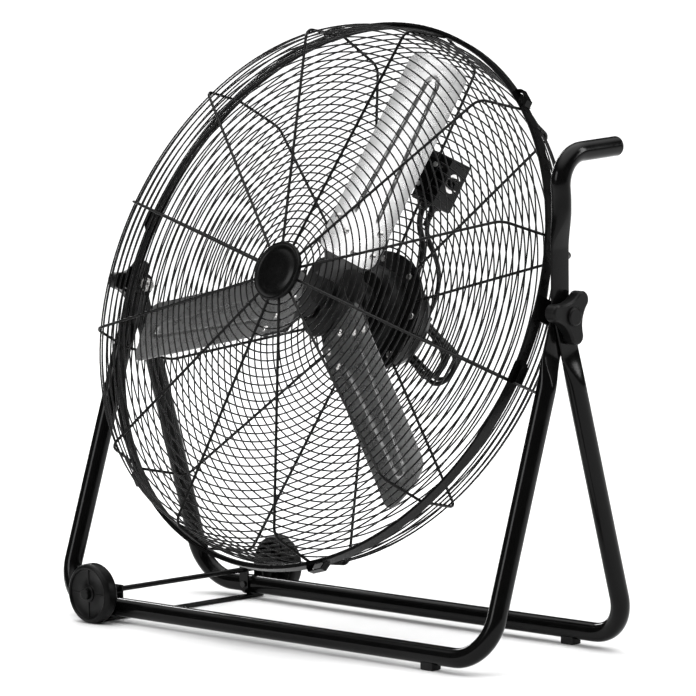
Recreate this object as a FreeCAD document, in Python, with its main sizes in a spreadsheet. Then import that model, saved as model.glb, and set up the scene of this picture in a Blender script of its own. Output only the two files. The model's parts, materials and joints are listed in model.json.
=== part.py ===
import FreeCAD, Part
import math
import os
from FreeCAD import Vector, Rotation, Placement

# Floor-standing tilting drum fan on a tubular A-frame.
# Frame of the whole object: +X across the fan, -Y is the way the air blows, +Z up, floor at z = 0.
# Head pieces are drawn about the fan axis: local x across, local y up the guard, local z out of the front.

doc = FreeCAD.newDocument("floor_fan")
sheet = doc.addObject("Spreadsheet::Sheet", "dims")

SIZES = [
    ("pivot_height", 490.0), ("pivot_depth", 12.6), ("tilt_angle", 21.5),
    ("tube_radius", 14.0), ("tube_wall", 1.6), ("leg_x", 436.0),
    ("front_run", 157.0), ("rear_run", 136.0), ("bar_height", 22.0), ("corner_radius", 62.0),
    ("flat_thick", 4.0), ("flat_wide", 36.0), ("front_flat_x", 432.2), ("rear_flat_x", 436.4),
    ("post_top", 224.0), ("post_bend", 46.0), ("handle_reach", 112.0),
    ("wheel_radius", 45.0), ("wheel_wide", 25.0), ("wheel_x", -332.0), ("wheel_out", 206.0),
    ("axle_radius", 4.0), ("running_gap", 0.05),
    ("ring_radius", 417.0), ("ring_mid", 27.0), ("ring_half", 8.0),
    ("rim_radius", 412.0), ("rim_wire", 2.75), ("ring_wire", 1.2), ("spoke_wire", 2.1),
    ("front_corner", 393.0), ("front_corner_z", 106.0), ("rear_corner", 391.0), ("rear_corner_z", -55.0),
    ("blade_tip", 378.0), ("blade_root", 56.0), ("blade_half", 52.0), ("blade_pitch", 15.0),
    ("blade_camber", 420.0), ("blade_thick", 1.6), ("blade_mid", 25.0), ("first_blade", 73.0),
    ("shaft_radius", 6.0), ("motor_radius", 70.0), ("motor_back", -135.0), ("motor_front", -35.0),
    ("flange_radius", 97.0), ("bolt_radius", 5.0), ("cord_radius", 3.6),
]
for row, (alias, size) in enumerate(SIZES, start=1):
    sheet.set("A%d" % row, alias)
    sheet.set("B%d" % row, str(size))
    sheet.setAlias("B%d" % row, alias)
doc.recompute()
D = {alias: float(sheet.get(alias)) for alias, size in SIZES}

X = Vector(1, 0, 0)
Y = Vector(0, 1, 0)
Z = Vector(0, 0, 1)
ORIGIN = Vector(0, 0, 0)
TILT = D["tilt_angle"]
SPOKES = 12
FIRST_SPOKE = 15.0
CLIPS = 6
FIRST_CLIP = 47.0


# ---------------------------------------------------------------- drawing helpers

def cylinder(base, axis, radius, length):
    return Part.makeCylinder(radius, length, base, axis)


def tube(base, axis, outer, inner, length):
    return cylinder(base, axis, outer, length).cut(cylinder(base, axis, inner, length))


def block(x0, x1, y0, y1, z0, z1):
    return Part.makeBox(x1 - x0, y1 - y0, z1 - z0, Vector(x0, y0, z0))


def fuse_all(shapes):
    return shapes[0].multiFuse(shapes[1:]).removeSplitter()


def turned(shape, angle, axis=Z, centre=ORIGIN):
    copy = shape.copy()
    copy.rotate(centre, axis, angle)
    return copy


def ring_of(shape, count, first=0.0, step=None):
    step = 360.0 / count if step is None else step
    return [turned(shape, first + step * i) for i in range(count)]


def rounded_path(points, radii):
    """Wire of straight runs joined by tangent arcs; one radius for each inner corner."""
    edges = []
    start = points[0]
    for corner, after, radius in zip(points[1:-1], points[2:], radii):
        into = (corner - start).normalize()
        out = (after - corner).normalize()
        turn = into.getAngle(out)
        back = radius * math.tan(turn / 2)
        first = corner - into * back
        last = corner + out * back
        inward = (out - into).normalize()
        middle = corner + inward * (radius / math.cos(turn / 2) - radius)
        edges.append(Part.LineSegment(start, first).toShape())
        edges.append(Part.Arc(first, middle, last).toShape())
        start = last
    edges.append(Part.LineSegment(start, points[-1]).toShape())
    return Part.Wire(edges)


def swept(path, radius):
    """Round bar or the bore of a tube along a path."""
    edge = path.OrderedEdges[0]
    start = edge.valueAt(edge.FirstParameter)
    along = edge.tangentAt(edge.FirstParameter)
    profile = Part.Wire([Part.makeCircle(radius, start, along)])
    return path.makePipeShell([profile], True, False)


def revolved(points):
    """Solid of revolution about the local z axis from (radius, height) points."""
    corners = [Vector(r, 0, z) for r, z in points]
    face = Part.Face(Part.makePolygon(corners + corners[:1]))
    return face.revolve(ORIGIN, Z, 360)


def plate(points, z0, thick):
    corners = [Vector(x, y, z0) for x, y in points]
    face = Part.Face(Part.makePolygon(corners + corners[:1]))
    return face.extrude(Vector(0, 0, thick))


def slab(x0, x1, y0, y1, corner, z0, thick):
    """Rounded rectangle with the given corner radius."""
    wide = block(x0 + corner, x1 - corner, y0, y1, z0, z0 + thick)
    tall = block(x0, x1, y0 + corner, y1 - corner, z0, z0 + thick)
    corners = [cylinder(Vector(x, y, z0), Z, corner, thick)
               for x in (x0 + corner, x1 - corner) for y in (y0 + corner, y1 - corner)]
    return fuse_all([wide, tall] + corners)


def softened(shape, radius, wanted):
    """Fillet the edges whose middle point passes the test."""
    edges = [e for e in shape.Edges if wanted(e.CenterOfMass, e)]
    return shape.makeFillet(radius, edges)


def settled(shape):
    """Keep a shape's own turn when the piece is placed."""
    return shape if shape.Placement.isIdentity() else Part.Compound([shape])


def piece(name, shape):
    """A piece of the standing frame, drawn where it belongs."""
    obj = doc.addObject("Part::Feature", name)
    obj.Label = name
    obj.Shape = settled(shape)
    obj.Placement = Placement(Vector(0, D["pivot_depth"], 0), Rotation())
    obj.setExpression("Placement.Base.y", "dims.pivot_depth")
    return obj


def head_piece(name, shape):
    """A piece of the tilting head, drawn about the fan axis and laid back by the tilt."""
    obj = doc.addObject("Part::Feature", name)
    obj.Label = name
    obj.Shape = settled(shape)
    obj.Placement = Placement(Vector(0, D["pivot_depth"], D["pivot_height"]), Rotation(X, 90 - TILT))
    obj.setExpression("Placement.Base.y", "dims.pivot_depth")
    obj.setExpression("Placement.Base.z", "dims.pivot_height")
    obj.setExpression("Placement.Rotation.Angle", "90 - dims.tilt_angle")
    return obj


def bored(shape, *holes):
    for hole in holes:
        shape = shape.cut(hole)
    return shape


# ---------------------------------------------------------------- tubular frame

R = D["tube_radius"]
BORE = R - D["tube_wall"]
DROP = D["pivot_height"] - D["bar_height"]
FLAT_END = 54.0
ROUND_START = 108.0
POST_FLAT_END = 92.0
POST_ROUND_START = 150.0


def leg_plane(run):
    """Placement of a U-tube plane: local x across, local y down the leg from the pivot line."""
    lean = math.degrees(math.atan2(run, DROP))
    return Placement(Vector(0, 0, D["pivot_height"]), Rotation(X, lean - 90))


def u_points(length):
    leg = D["leg_x"]
    return [Vector(-leg, ROUND_START, 0), Vector(-leg, length, 0), Vector(leg, length, 0), Vector(leg, ROUND_START, 0)]


def section(radius, centre, shift, spread, side, along):
    """Closed curve of two end arcs, joined by side arcs (no shift) or by straight flats."""
    def at(angle, up):
        turn = math.radians(angle)
        return Vector(side * (centre + radius * math.cos(turn)), along, radius * math.sin(turn) + up)
    edges = []
    for first, up in ((0, shift), (180, -shift)):
        last = first + 180 - spread
        edges.append(Part.Arc(at(first + spread, up), at(first + 90, up), at(last, up)).toShape())
        if shift:
            edges.append(Part.LineSegment(at(last, up), at(last, -up)).toShape())
        else:
            edges.append(Part.Arc(at(last, 0), at(first + 180, 0), at(last + 2 * spread, 0)).toShape())
    return Part.Wire(edges)


def squeezed(flat_x, side, round_at, flat_at):
    """The stretch of tube that is pressed from round to flat."""
    half = D["flat_thick"] / 2
    round_end = section(R, D["leg_x"], 0, 30, side, round_at)
    flat_end = section(half, flat_x, D["flat_wide"] / 2 - half, 0, side, flat_at)
    return Part.makeLoft([round_end, flat_end], True, True)


def flat_strip(flat_x, side, reach):
    """Pressed end of a tube: a strip of rounded section from the pivot to the squeezed stretch."""
    half = D["flat_thick"] / 2
    wide = D["flat_wide"] / 2
    x0 = side * flat_x - half
    end = cylinder(Vector(x0, 0, 0), X, wide, 2 * half)
    strip = block(x0, x0 + 2 * half, 0, reach, -wide + half, wide - half)
    edges = [cylinder(Vector(x0 + half, 0, z), Y, half, reach) for z in (-wide + half, wide - half)]
    return fuse_all([end, strip] + edges)


def u_tube(run, flat_x):
    """One bent tube: both legs and the bottom bar, hollow where it is round."""
    length = math.hypot(run, DROP)
    radii = [D["corner_radius"], D["corner_radius"]]
    path = rounded_path(u_points(length), radii)
    outer = swept(path, R)
    inner = swept(path, BORE)
    solids = [outer.cut(inner)]
    for side in (-1, 1):
        solids.append(squeezed(flat_x, side, ROUND_START, FLAT_END))
        solids.append(flat_strip(flat_x, side, FLAT_END))
    shape = fuse_all(solids)
    shape.Placement = leg_plane(run).multiply(shape.Placement)
    return shape


def post_and_handle(flat_x):
    """Right-hand post above the pivot, bent back into the short carrying handle."""
    top = D["post_top"]
    lean = 7.0
    corners = [Vector(D["leg_x"], 0, POST_ROUND_START), Vector(D["leg_x"], 0, POST_ROUND_START + 16),
               Vector(D["leg_x"], -lean, top), Vector(D["leg_x"], D["handle_reach"], top + 7)]
    path = rounded_path(corners, [120, D["post_bend"]])
    grip = swept(path, R).cut(swept(path, BORE))
    flat = fuse_all([squeezed(flat_x, 1, POST_ROUND_START, POST_FLAT_END), flat_strip(flat_x, 1, POST_FLAT_END)])
    flat.Placement = Placement(ORIGIN, Rotation(X, 90)).multiply(flat.Placement)
    shape = fuse_all([grip, flat])
    shape.translate(Vector(0, 0, D["pivot_height"]))
    return shape


def pivot_hole(side, radius):
    x = side * 415
    return cylinder(Vector(x, 0, D["pivot_height"]), X * side, radius, 40)


GAP = D["running_gap"]
BOLT_BORE = D["bolt_radius"] + GAP
strap_screw_holes = [cylinder(Vector(D["wheel_x"], y, D["bar_height"]), Y * s, 2.4, 12)
                     for y, s in ((-D["front_run"] + 9, 1), (D["rear_run"] - 9, -1))]
pivot_holes = [pivot_hole(side, BOLT_BORE) for side in (-1, 1)]

front_tube = fuse_all([u_tube(-D["front_run"], D["front_flat_x"]), post_and_handle(D["front_flat_x"])])
rear_tube = u_tube(D["rear_run"], D["rear_flat_x"])
piece("front_frame_tube", bored(front_tube, *(pivot_holes + strap_screw_holes[:1])))
piece("rear_frame_tube", bored(rear_tube, *(pivot_holes + strap_screw_holes[1:])))


def handle_cap():
    """Plastic plug in the open end of the handle, its rounded head flush with the tube."""
    slope = math.atan2(7.0, D["handle_reach"] + 7.0)
    along = Vector(0, math.cos(slope), math.sin(slope))
    tip = Vector(D["leg_x"], D["handle_reach"], D["pivot_height"] + D["post_top"] + 7)
    head = cylinder(tip, along, R, 6)
    head = softened(head, 4, lambda c, e: c.y > tip.y + 5)
    return fuse_all([head, cylinder(tip - along * 20, along, BORE, 20)])


piece("handle_end_cap", handle_cap())


def foot(y):
    """Small rubber pad under the bottom bar, hollowed to the tube."""
    x0, x1 = 317.0, 339.0
    pad = block(x0, x1, y - 9, y + 9, 0, 12.5)
    body = pad.cut(cylinder(Vector(x0 - 1, y, D["bar_height"]), X, R, x1 - x0 + 2))
    return softened(body, 2.0, lambda c, e: c.z < 0.1)


piece("front_rubber_foot", foot(-D["front_run"]))
piece("rear_rubber_foot", foot(D["rear_run"]))

# ---------------------------------------------------------------- wheels and axle

WX = D["wheel_x"]
WZ = D["wheel_radius"]
OUT = D["wheel_out"]
AXLE = D["axle_radius"]
piece("wheel_axle", cylinder(Vector(WX, -OUT - 5, WZ), Y, AXLE, 2 * OUT + 10))


def strap(y):
    """Steel strap bent round the bottom bar, with two ears that carry the axle."""
    x0, x1 = WX - 9, WX + 9
    z = D["bar_height"]
    top = WZ + 7
    outer = fuse_all([cylinder(Vector(x0, y, z), X, R + 3, 18), block(x0, x1, y - R - 3, y + R + 3, z, top)])
    slot = block(x0 - 1, x1 + 1, y - R, y + R, z, top + 1)
    return bored(outer, slot, cylinder(Vector(x0 - 1, y, z), X, R, 20))


axle_hole = cylinder(Vector(WX, -OUT, WZ), Y, AXLE, 2 * OUT)
front_strap = bored(strap(-D["front_run"]), axle_hole, strap_screw_holes[0])
rear_strap = bored(strap(D["rear_run"]), axle_hole, strap_screw_holes[1])
piece("front_axle_strap", front_strap)
piece("rear_axle_strap", rear_strap)

tie = slab(WX - 8, WX + 8, -D["front_run"] - 22, D["rear_run"] + 22, 6, 1.5, 3.5)
piece("axle_tie_bar", tie)


def strap_screw(y, way):
    shank = cylinder(Vector(WX, y, D["bar_height"]), Y * way, 2.4, 8)
    head = cylinder(Vector(WX, y + 8 * way, D["bar_height"]), Y * way, 5, 2.6)
    return fuse_all([shank, head])


screws = [strap_screw(-D["front_run"] + 9, 1), strap_screw(D["rear_run"] - 9, -1)]
piece("strap_screws", Part.Compound(screws))


def wheel(way):
    """Moulded wheel: hub, disc web with ribs, raised rim lip and a rounded tread."""
    radius = D["wheel_radius"]
    wide = D["wheel_wide"]
    tread = revolved([(33, 0.5), (36, 0), (40, 0), (43.5, 1.6), (radius, 6), (radius, wide - 6),
                      (43.5, wide - 1.6), (40, wide), (36, wide), (33, wide - 0.5)])
    web = cylinder(Vector(0, 0, 4), Z, 34, 17)
    hub = cylinder(Vector(0, 0, 1), Z, 12, wide - 2)
    recess = tube(Vector(0, 0, 15), Z, 31.5, 15, 7)
    rib = block(13, 33, -1.4, 1.4, 14, 21)
    body = fuse_all([tread, web.cut(recess), hub] + ring_of(rib, 8, 11))
    spokes = ring_of(block(11, 33.5, -2.2, 2.2, 2.6, 5), 4, 20)
    body = bored(fuse_all([body] + spokes), cylinder(Vector(0, 0, -1), Z, AXLE + GAP, wide + 2))
    body.Placement = Placement(Vector(WX, way * OUT, WZ), Rotation(X, 90 * way))
    return body


piece("front_wheel", wheel(-1))
piece("rear_wheel", wheel(1))


def end_nut(way):
    """Push-on cap that keeps a wheel on the axle."""
    at = Vector(WX, way * (OUT + 0.4), WZ)
    body = cylinder(at, Y * way, 8.5, 5.5)
    body = softened(body, 2.0, lambda c, e: abs(c.y) > OUT + 5)
    return body.cut(cylinder(Vector(WX, way * OUT, WZ), Y * way, AXLE, 5.0))


piece("axle_end_caps", Part.Compound([end_nut(-1), end_nut(1)]))

# ---------------------------------------------------------------- tilt pivots

PZ = D["pivot_height"]
KNOB_IN = 440.5
KNOB_THICK = 18.0
KNOB_LOBE = 12.5
KNOB_REACH = 29.5
KNOB_WAIST = 21.0

washers = [tube(Vector(side * 438.6, 0, PZ), X * side, 13, BOLT_BORE, 1.6) for side in (-1, 1)]
piece("pivot_washers", Part.Compound(washers))


def on_circle(radius, angle, centre=ORIGIN):
    turn = math.radians(angle)
    return centre + Vector(radius * math.cos(turn), radius * math.sin(turn), 0)


def tri_lobe():
    """Outline of three round lobes joined by shallow hollows that run smoothly into them."""
    over = KNOB_LOBE - KNOB_WAIST
    out = (KNOB_REACH ** 2 - over ** 2) / (KNOB_REACH + 2 * over)
    edges = []
    for first in (0, 120, 240):
        lobe = on_circle(KNOB_REACH, first)
        touch = [lobe + (on_circle(out, first + way) - lobe).normalize() * KNOB_LOBE for way in (-60, 60)]
        after = on_circle(KNOB_REACH, first + 120)
        meet = after + (on_circle(out, first + 60) - after).normalize() * KNOB_LOBE
        edges.append(Part.Arc(touch[0], on_circle(KNOB_REACH + KNOB_LOBE, first), touch[1]).toShape())
        edges.append(Part.Arc(touch[1], on_circle(KNOB_WAIST, first + 60), meet).toShape())
    return Part.Wire(edges)


def knob(side):
    """Three-lobed clamping knob: thick webbed plate with rounded edges and a raised hub."""
    grip = Part.Face(tri_lobe()).extrude(Vector(0, 0, KNOB_THICK))
    grip = softened(grip, 4.0, lambda c, e: c.z > KNOB_THICK - 0.1)
    grip = softened(grip, 1.5, lambda c, e: c.z < 0.1)
    hub = softened(cylinder(ORIGIN, Z, 13, 22.6), 2.5, lambda c, e: c.z > 22.5)
    body = fuse_all([grip, hub]).cut(cylinder(ORIGIN, Z, BOLT_BORE, 20))
    body = turned(body, 48 if side > 0 else 12)
    out = Placement(Vector(side * KNOB_IN, 0, PZ), Rotation(Z, 90 * side))
    body.Placement = out.multiply(Placement(ORIGIN, Rotation(X, 90))).multiply(body.Placement)
    return body


piece("left_tilt_knob", knob(-1))
piece("right_tilt_knob", knob(1))

# ---------------------------------------------------------------- tilting head: ring and brackets

MID = D["ring_mid"]
HALF = D["ring_half"]
RING = D["ring_radius"]


def channel():
    """Rolled steel band, open towards the middle, that closes over both guard rims."""
    return revolved([(RING, MID - HALF), (RING, MID + HALF), (RING - 3.5, MID + HALF), (RING - 3.5, MID + HALF - 1.3),
                     (RING - 1.8, MID + HALF - 1.3), (RING - 1.8, MID - HALF + 1.3),
                     (RING - 3.5, MID - HALF + 1.3), (RING - 3.5, MID - HALF)])


head_piece("guard_clamp_ring", channel())


BRACKET_X = 417.6
SPACER_END = 429.9


def pivot_bracket(side):
    """Narrow side plate welded to the clamp ring, with the spacer that turns against the frame."""
    arm = block(BRACKET_X, BRACKET_X + 3, -17, 17, 0, 37)
    end = cylinder(Vector(BRACKET_X, 0, 0), X, 17, 3)
    pads = [cylinder(Vector(409, y, MID), X, 6, 10) for y in (-10, 10)]
    body = fuse_all([arm, end] + pads).cut(cylinder(Vector(0, 0, -60), Z, RING, 160))
    body = fuse_all([body, cylinder(Vector(BRACKET_X, 0, 0), X, 14, SPACER_END - BRACKET_X)])
    if side < 0:
        body = body.mirror(ORIGIN, X)
    return body.cut(cylinder(Vector(side * 400, 0, 0), X * side, D["bolt_radius"], 40))


def hexagon(base, axis, across, thick):
    solid = Part.Face(Part.makePolygon([Vector(across / math.sqrt(3) * math.cos(math.radians(60 * i)),
                                               across / math.sqrt(3) * math.sin(math.radians(60 * i)), 0)
                                        for i in range(7)])).extrude(Vector(0, 0, thick))
    solid.Placement = Placement(base, Rotation(Z, axis))
    return solid


def pivot_bolt(side):
    """Threaded stud from inside the bracket out to the clamping knob."""
    start = 405 if side < 0 else 412
    return cylinder(Vector(side * start, 0, 0), X * side, D["bolt_radius"], 459 - start)


for side, word in ((-1, "left"), (1, "right")):
    head_piece(word + "_pivot_bracket", pivot_bracket(side))
    head_piece(word + "_pivot_bolt", pivot_bolt(side))

left_nut = fuse_all([cylinder(Vector(-415.2, 0, 0), -X, 10.5, 2.4), hexagon(Vector(-407.2, 0, 0), -X, 17, 8.2)])
head_piece("left_pivot_nut", left_nut.cut(cylinder(Vector(-400, 0, 0), -X, D["bolt_radius"], 30)))
right_boss = softened(cylinder(Vector(410.8, 0, 0), X, 14, 6.8), 1.5, lambda c, e: c.x < 411)
head_piece("right_pivot_boss", right_boss.cut(cylinder(Vector(412, 0, 0), X, D["bolt_radius"], 30)))


def guard_clip():
    """Spring-steel clip over the ring with a raised finger tab."""
    saddle = revolved([(RING + 0.1, MID - HALF - 0.1), (RING + 0.1, MID + HALF + 0.1), (RING - 5, MID + HALF + 0.1), (RING - 5, MID + HALF + 1.3),
                       (RING + 1.3, MID + HALF + 1.3), (RING + 1.3, MID - HALF - 1.3), (RING - 5, MID - HALF - 1.3),
                       (RING - 5, MID - HALF - 0.1)])
    wedge = block(380, 440, -15, 15, MID - 20, MID + 20)
    saddle = saddle.common(wedge)
    top = RING + 1.0
    line = [(top, 19), (top + 8.5, 11), (top + 8.0, -13), (top - 0.2, -17), (top - 0.2, -15), (top + 6.2, -11.8), (top + 6.8, 10), (top - 0.8, 17)]
    tab = plate(line, MID - 6, 12)
    return fuse_all([saddle, tab])


clip = guard_clip()
head_piece("guard_clips", Part.Compound(ring_of(clip, CLIPS, FIRST_CLIP)))

# ---------------------------------------------------------------- wire guards

RIM = D["rim_radius"]


def arc_of(outline):
    """One twelfth of a ring, centred on the local x axis, from its section."""
    start = turned(Part.Face(outline), -180.0 / SPOKES)
    return start.revolve(ORIGIN, Z, 360.0 / SPOKES)


def rim_arc(height):
    return arc_of(Part.Wire([Part.makeCircle(D["rim_wire"], Vector(RIM, 0, height), Y)]))


def wire_arc(spot):
    """Thin ring wire, drawn with six flats so that hundreds of crossings stay light."""
    reach = D["ring_wire"] * 1.08
    corners = []
    for i in range(7):
        a = math.radians(60 * i)
        corners.append(Vector(spot.x + reach * math.cos(a), 0, spot.z + reach * math.sin(a)))
    return arc_of(Part.makePolygon(corners))


def offset_stations(path, first, pitch, side, lift):
    """Ring positions at even steps along a spoke, moved to one side of it."""
    stations = []
    travelled = first
    length = path.Length
    while travelled < length - 7:
        edge, param = edge_at(path, travelled)
        point = edge.valueAt(param)
        along = edge.tangentAt(param)
        normal = Vector(along.z, 0, -along.x) * side
        stations.append(point + normal * lift)
        travelled += pitch
    return stations


def edge_at(path, travelled):
    for edge in path.OrderedEdges:
        if travelled <= edge.Length + 1e-9:
            return edge, edge.getParameterByLength(travelled)
        travelled -= edge.Length
    return edge, edge.LastParameter


def guard(points, bend, rim_height, first, pitch, side, inner_ring):
    """One wire guard: a twelfth of it is drawn, then turned round the axis and sewn shut."""
    path = rounded_path(points, [bend])
    lift = D["spoke_wire"] + D["ring_wire"] - 0.25
    spoke = swept(path, D["spoke_wire"])
    arcs = [rim_arc(rim_height)]
    spots = offset_stations(path, first, pitch, side, lift)
    if inner_ring:
        spots.append(offset_stations(path, 2.0, path.Length, side, lift)[0])
    for spot in spots:
        arcs.append(wire_arc(spot))
    sector = spoke.multiFuse(arcs)
    half = math.radians(180.0 / SPOKES)
    kept = []
    for face in sector.Faces:
        centre = face.CenterOfMass
        angle = math.atan2(centre.y, centre.x)
        on_cut = abs(abs(angle) - half) < 1e-4 and face.Surface.TypeId == "Part::GeomPlane"
        if not on_cut:
            kept.append(face)
    faces = []
    for i in range(SPOKES):
        turn = FIRST_SPOKE + i * 360.0 / SPOKES
        faces += [turned(face, turn) for face in kept]
    shell = Part.Compound(faces)
    shell.sewShape()
    return shell


front_spoke = [Vector(22, 0, 128.9), Vector(D["front_corner"], 0, D["front_corner_z"]), Vector(RIM - 2.2, 0, MID + 3.6)]
rear_spoke = [Vector(90, 0, -68.1), Vector(D["rear_corner"], 0, D["rear_corner_z"]), Vector(RIM - 2.2, 0, MID - 3.6)]
front_guard = Part.Solid(guard(front_spoke, 18, MID + 3.0, 26.0, 11.9, 1, True).Shells[0])
rear_guard = Part.Solid(guard(rear_spoke, 18, MID - 3.0, 12.0, 11.9, -1, False).Shells[0])
head_piece("front_guard", front_guard)
head_piece("rear_guard", rear_guard)

badge = revolved([(0, 131.0), (44, 131.0), (44, 137.0), (42.5, 138.0), (40, 138.0), (38.5, 136.2), (0, 136.2)])
head_piece("guard_centre_cap", badge)
back_plate = fuse_all([cylinder(Vector(0, 0, 122.0), Z, 32, 2), cylinder(Vector(0, 0, 124), Z, 19, 7)])
head_piece("centre_cap_backing", back_plate)

# ---------------------------------------------------------------- motor

MR = D["motor_radius"]
BACK = D["motor_back"]
FRONT = D["motor_front"]
SHAFT = D["shaft_radius"]
PLATE_Z = -70.2
SCREWS = 8

screw_holes = [turned(cylinder(Vector(84, 0, PLATE_Z - 8), Z, 2.5, 9), 360.0 / SCREWS * i) for i in range(SCREWS)]
mount_plate = bored(tube(Vector(0, 0, PLATE_Z - 3), Z, D["flange_radius"], MR + 0.5, 3), *screw_holes)
head_piece("motor_mount_plate", mount_plate)

flange_top = PLATE_Z - 3
rear_cup = revolved([(MR + 0.4, flange_top), (D["flange_radius"], flange_top), (D["flange_radius"], flange_top - 4), (MR, flange_top - 4),
                     (MR, BACK + 16), (MR - 4.7, BACK + 4.7), (MR - 16, BACK), (26, BACK), (23, BACK - 5), (0, BACK - 5),
                     (0, BACK - 2), (16, BACK - 2), (16, BACK + 10), (20, BACK + 10), (20, BACK + 3), (MR - 17, BACK + 3),
                     (MR - 6.8, BACK + 6.8), (MR - 3, BACK + 17), (MR - 3, flange_top - 1), (MR + 0.4, flange_top - 1)])
slot = slab(34, 58, -2.2, 2.2, 2.1, BACK - 8, 14)
rear_cup = bored(rear_cup, *(screw_holes + ring_of(slot, 16)))
head_piece("motor_rear_housing", rear_cup)

front_cup = revolved([(MR, flange_top), (MR, FRONT - 14), (MR - 4, FRONT - 5), (MR - 14, FRONT), (38, FRONT), (34, FRONT + 14), (30, FRONT + 17),
                      (12, FRONT + 17), (12, FRONT + 14), (16, FRONT + 14), (16, FRONT + 2), (20, FRONT + 2), (20, FRONT - 3), (MR - 16, FRONT - 3),
                      (MR - 6.5, FRONT - 7), (MR - 3, FRONT - 15), (MR - 3, flange_top)])
fin = block(0, 3.0, -1.5, 1.5, flange_top + 1, FRONT - 16)
fins = [turned(fin.translated(Vector(MR - 1, 0, 0)), 360.0 / 24 * i) for i in range(24)]
head_piece("motor_front_housing", fuse_all([front_cup] + fins).common(cylinder(Vector(0, 0, BACK), Z, MR, 200)))

stator = tube(Vector(0, 0, -100), Z, MR - 3, 36, 36)
head_piece("motor_stator", stator)
coil = revolved([(40, 0), (60, 0), (62, 4), (60, 12), (42, 12), (39, 6)])
head_piece("motor_windings", Part.Compound([coil.translated(Vector(0, 0, -64)), coil.translated(Vector(0, 0, -112))]))
head_piece("rotor_core", tube(Vector(0, 0, -100), Z, 35.5, SHAFT, 36))
race = tube(ORIGIN, Z, 16, SHAFT + GAP, 10)
head_piece("motor_bearings", Part.Compound([race.translated(Vector(0, 0, FRONT + 4)), race.translated(Vector(0, 0, BACK - 1))]))
head_piece("motor_shaft", cylinder(Vector(0, 0, BACK - 1.5), Z, SHAFT, 41 - BACK))


def mount_screw():
    head = cylinder(Vector(84, 0, PLATE_Z), Z, 5, 3)
    head = softened(head, 1.2, lambda c, e: c.z > PLATE_Z + 2.9)
    shank = cylinder(Vector(84, 0, PLATE_Z - 10), Z, 2.5, 10)
    nut = hexagon(Vector(84, 0, flange_top - 4), -Z, 8, 3.5)
    return fuse_all([head, shank, nut])


head_piece("motor_mount_screws", Part.Compound(ring_of(mount_screw(), SCREWS)))

# ---------------------------------------------------------------- blades

PITCH = D["blade_pitch"]
CAMBER = D["blade_camber"]
THICK = D["blade_thick"]


def shell_layer(inner, thick):
    """Strip of a large cylinder that gives the blade its camber, hollow side to the front."""
    ring = tube(Vector(-10, 0, CAMBER), X, inner + thick, inner, 420)
    return ring.common(block(-10, 410, -90, 90, -30, 40))


def set_in_wheel(shape):
    """Pitch a blade piece about its long axis and lift it to the blade plane."""
    copy = shape.copy()
    copy.rotate(ORIGIN, X, PITCH)
    copy.translate(Vector(0, 0, D["blade_mid"]))
    return copy


def blade_outline():
    half = D["blade_half"]
    body = slab(D["blade_root"], D["blade_tip"] + 3, -half, half, 17, -30, 70)
    return body.common(cylinder(Vector(0, 0, -30), Z, D["blade_tip"], 70))


def hairpin():
    """Long narrow embossed rib that narrows towards the tip."""
    def loop(x0, x1, near, far):
        taper = plate([(x0, -near), (x1, -far), (x1, far), (x0, near)], -30, 70)
        return fuse_all([taper, cylinder(Vector(x1, 0, -30), Z, far, 70)])
    return loop(128, 338, 24, 12).cut(loop(120, 336, 19.5, 7.5))


RIVETS = [(70, -8), (78, -42), (112, -36), (94, 20), (108, 42)]


def sag(y):
    return CAMBER - math.sqrt(CAMBER * CAMBER - y * y)


rivet_holes = [cylinder(Vector(x, y, -30), Z, 2.4, 70) for x, y in RIVETS]
blade = blade_outline().common(shell_layer(CAMBER, THICK))
bead = hairpin().common(shell_layer(CAMBER - 1.3, 1.35))
blade = set_in_wheel(bored(fuse_all([blade, bead]), *rivet_holes))
for i in range(3):
    head_piece("blade_%d" % (i + 1), turned(blade, D["first_blade"] + 120 * i))

arm = slab(18, 126, -54, 54, 26, -30, 70)
waist = [cylinder(Vector(34, y, -30), Z, 27, 70) for y in (-58, 58)]
arm = bored(arm, *waist).common(shell_layer(CAMBER + THICK, 2.4))
arm = set_in_wheel(bored(arm, *rivet_holes))
hub_hole = cylinder(Vector(0, 0, -40), Z, SHAFT, 100)
centre_disc = cylinder(Vector(0, 0, 18.5), Z, 44, 3.2)
lobes = ring_of(cylinder(Vector(33, 0, 18.5), Z, 33, 3.2), 3, D["first_blade"] + 60)
arms = ring_of(arm, 3, D["first_blade"])
spider = bored(fuse_all(arms + lobes + [centre_disc]), cylinder(ORIGIN, Z, 20, 60))
head_piece("blade_spider", spider)
hub = fuse_all([cylinder(Vector(0, 0, 6), Z, 20, 34), cylinder(Vector(0, 0, 34), Z, 17, 6)])
head_piece("blade_hub", bored(hub, hub_hole, cylinder(Vector(SHAFT + 3, 0, 12), X, 2.5, 30)))


joined_layers = shell_layer(CAMBER, THICK + 2.4)


def rivet(x, y):
    """Domed rivet through a blade and its spider arm."""
    z = sag(y)
    front = Part.makeSphere(7, Vector(x, y, z - 4.6)).common(block(x - 9, x + 9, y - 9, y + 9, z - 1, z + 5))
    tail = cylinder(Vector(x, y, z - THICK - 4.4), Z, 4.2, 3)
    shank = cylinder(Vector(x, y, z - 5.6), Z, 2.4, 6.4)
    return fuse_all([front.cut(joined_layers), tail.cut(joined_layers), shank])


blade_rivets = [set_in_wheel(rivet(x, y)) for x, y in RIVETS]
all_rivets = [turned(r, D["first_blade"] + 120 * i) for i in range(3) for r in blade_rivets]
head_piece("blade_rivets", Part.Compound(all_rivets))

# ---------------------------------------------------------------- switch box

BOX_TURN = 75.0
BOX_AT = 219.0


def boxed(shape):
    """Turn something drawn about the radial line of the box into its place on the guard."""
    copy = shape.copy()
    copy.rotate(ORIGIN, Z, BOX_TURN)
    return copy


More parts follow.
